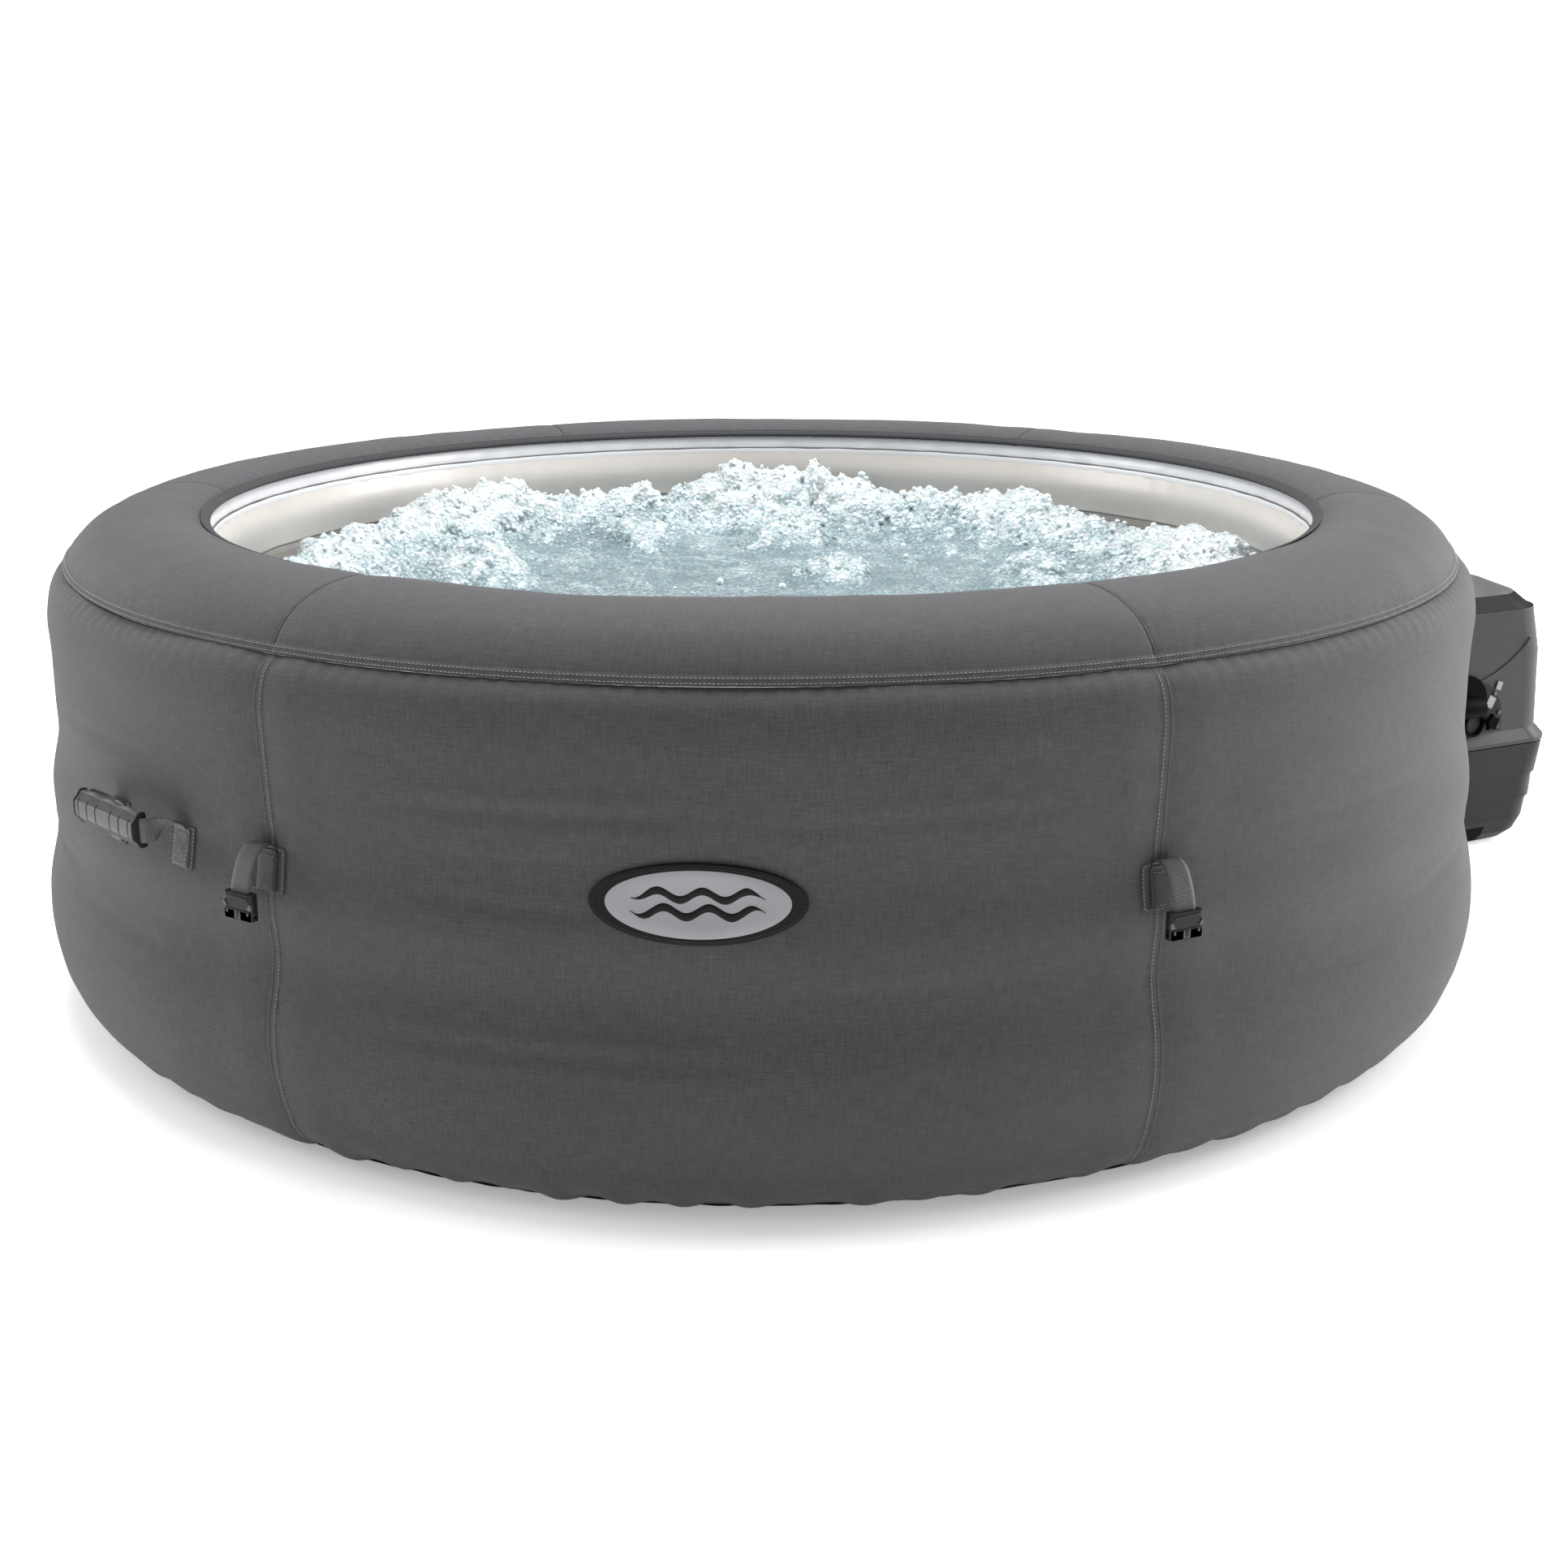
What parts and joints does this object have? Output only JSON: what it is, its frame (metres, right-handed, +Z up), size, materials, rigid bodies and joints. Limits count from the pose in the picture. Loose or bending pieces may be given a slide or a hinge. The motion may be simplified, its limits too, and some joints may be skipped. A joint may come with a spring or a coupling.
{
  "type": "inflatable hot tub",
  "caption": "Round inflatable hot tub in a padded woven cover, with a white-edged pale liner, carrying handles, cover straps with buckles and a moulded pump and heater unit behind.",
  "frame": {"origin": "centre of the tub's round footprint, on the floor", "axes": "+Z up; -Y towards the badge; the control base stands behind, towards +X and +Y"},
  "size_m": [2.2486, 1.9586, 0.66],
  "materials": {
    "cover_fabric": "matte",
    "cover_binding": "matte",
    "patch_fabric": "matte",
    "webbing": "satin",
    "badge_rim": "satin",
    "badge_plate": "satin",
    "white_pvc": "gloss",
    "liner_pvc": "satin",
    "chamber_pvc": "satin",
    "black_plastic": "satin",
    "grip_plastic": "satin",
    "housing_plastic": "satin",
    "panel_plastic": "gloss",
    "button_plastic": "satin",
    "display_glass": "gloss",
    "valve_plastic": "satin",
    "port_rubber": "satin",
    "tag_plastic": "satin",
    "steel": "satin",
    "pump_plastic": "satin",
    "filter_paper": "matte"
  },
  "bodies": {
    "tub": {"air_blower": "pump_plastic", "air_valve_body": "valve_plastic", "badge_backing": "badge_rim", "badge_face": "badge_plate", "base_hem": "cover_binding", "base_lower_shell": "housing_plastic", "base_screws": "steel", "base_upper_shell": "housing_plastic", "bubble_ring": "liner_pvc", "chamber_inner_wall": "liner_pvc", "chamber_outer_wall": "chamber_pvc", "chamber_top_band": "white_pvc", "control_panel": "panel_plastic", "display_window": "display_glass", "drain_pipe": "valve_plastic", "filter_cartridge": "filter_paper", "heater_unit": "steel", "hose_outlet": "black_plastic", "port_tags": "tag_plastic", "pump_unit": "pump_plastic", "rim_binding": "cover_binding", "rim_panels": "cover_fabric", "service_panel": "housing_plastic", "sewn_patches": "patch_fabric", "side_port_ring": "port_rubber", "strainers": "valve_plastic", "tension_webs": "chamber_pvc", "tub_floor": "liner_pvc", "wall_fittings": "valve_plastic", "wall_panel_1": "cover_fabric", "wall_panel_2": "cover_fabric", "wall_panel_3": "cover_fabric", "wall_panel_4": "cover_fabric", "wall_panel_5": "cover_fabric", "wall_panel_6": "cover_fabric"},
    "cover_strap_1": {"strap_1": "webbing", "buckle_1": "black_plastic"},
    "cover_strap_2": {"strap_2": "webbing", "buckle_2": "black_plastic"},
    "cover_strap_3": {"strap_3": "webbing", "buckle_3": "black_plastic"},
    "cover_strap_4": {"strap_4": "webbing", "buckle_4": "black_plastic"},
    "handle_1": {"handle_grip_1": "grip_plastic", "handle_webbing_1": "webbing"},
    "handle_2": {"handle_grip_2": "grip_plastic", "handle_webbing_2": "webbing"},
    "air_cap": {"air_valve_cap": "valve_plastic"},
    "drain_plug": {"drain_cap": "valve_plastic"},
    "nut_inlet": {"coupling_nut_inlet": "black_plastic"},
    "nut_outlet": {"coupling_nut_outlet": "black_plastic"},
    "knob": {"vent_knob": "black_plastic"},
    "key_power": {"button_power": "button_plastic"},
    "key_filter": {"button_filter": "button_plastic"},
    "key_heater": {"button_heater": "button_plastic"},
    "key_bubbles": {"button_bubbles": "button_plastic"}
  },
  "joints": [
    {"name": "strap_1_swing", "type": "hinge", "parent": "tub", "child": "cover_strap_1", "pos_m": [-0.4875, -0.84437, 0.381], "axis": [-0.866, 0.5, 0], "range_deg": [-15, 50], "stiffness_Nm_per_rad": 0.12},
    {"name": "strap_2_swing", "type": "hinge", "parent": "tub", "child": "cover_strap_2", "pos_m": [0.4875, -0.84437, 0.381], "axis": [-0.866, -0.5, 0], "range_deg": [-15, 50], "stiffness_Nm_per_rad": 0.12},
    {"name": "strap_3_swing", "type": "hinge", "parent": "tub", "child": "cover_strap_3", "pos_m": [0.4875, 0.84437, 0.381], "axis": [0.866, -0.5, 0], "range_deg": [-15, 50], "stiffness_Nm_per_rad": 0.12},
    {"name": "strap_4_swing", "type": "hinge", "parent": "tub", "child": "cover_strap_4", "pos_m": [-0.4875, 0.84437, 0.381], "axis": [0.866, 0.5, 0], "range_deg": [-15, 50], "stiffness_Nm_per_rad": 0.12},
    {"name": "handle_1_swing", "type": "hinge", "parent": "tub", "child": "handle_1", "pos_m": [-0.66313, -0.71612, 0.379], "axis": [-0.7337, 0.6794, 0], "range_deg": [-50, 50], "stiffness_Nm_per_rad": 1.2},
    {"name": "handle_2_swing", "type": "hinge", "parent": "tub", "child": "handle_2", "pos_m": [0.66313, 0.71612, 0.379], "axis": [0.7337, -0.6794, 0], "range_deg": [-50, 50], "stiffness_Nm_per_rad": 1.2},
    {"name": "air_cap_turn", "type": "hinge", "parent": "tub", "child": "air_cap", "pos_m": [0.20479, 0.96348, 0.53], "axis": [0.2079, 0.9781, 0], "range_deg": [0, 720]},
    {"name": "drain_cap_turn", "type": "hinge", "parent": "tub", "child": "drain_plug", "pos_m": [-0.33347, 0.9162, 0.052], "axis": [-0.342, 0.9397, 0], "range_deg": [0, 720]},
    {"name": "nut_inlet_turn", "type": "hinge", "parent": "tub", "child": "nut_inlet", "pos_m": [0.90179, 0.43405, 0.135], "axis": [0.866, 0.5, 0], "range_deg": [0, 720]},
    {"name": "nut_outlet_turn", "type": "hinge", "parent": "tub", "child": "nut_outlet", "pos_m": [0.82679, 0.56395, 0.135], "axis": [0.866, 0.5, 0], "range_deg": [0, 720]},
    {"name": "knob_turn", "type": "hinge", "parent": "tub", "child": "knob", "pos_m": [1.15975, 0.42825, 0.223], "axis": [0.5, -0.866, 0], "range_deg": [0, 90]},
    {"name": "press_power", "type": "slide", "parent": "tub", "child": "key_power", "axis": [-0.2201, -0.1271, -0.9672], "range_m": [0, 0.0012], "stiffness_N_per_m": 400},
    {"name": "press_filter", "type": "slide", "parent": "tub", "child": "key_filter", "axis": [-0.2201, -0.1271, -0.9672], "range_m": [0, 0.0012], "stiffness_N_per_m": 400},
    {"name": "press_heater", "type": "slide", "parent": "tub", "child": "key_heater", "axis": [-0.2201, -0.1271, -0.9672], "range_m": [0, 0.0012], "stiffness_N_per_m": 400},
    {"name": "press_bubbles", "type": "slide", "parent": "tub", "child": "key_bubbles", "axis": [-0.2201, -0.1271, -0.9672], "range_m": [0, 0.0012], "stiffness_N_per_m": 400}
  ]
}
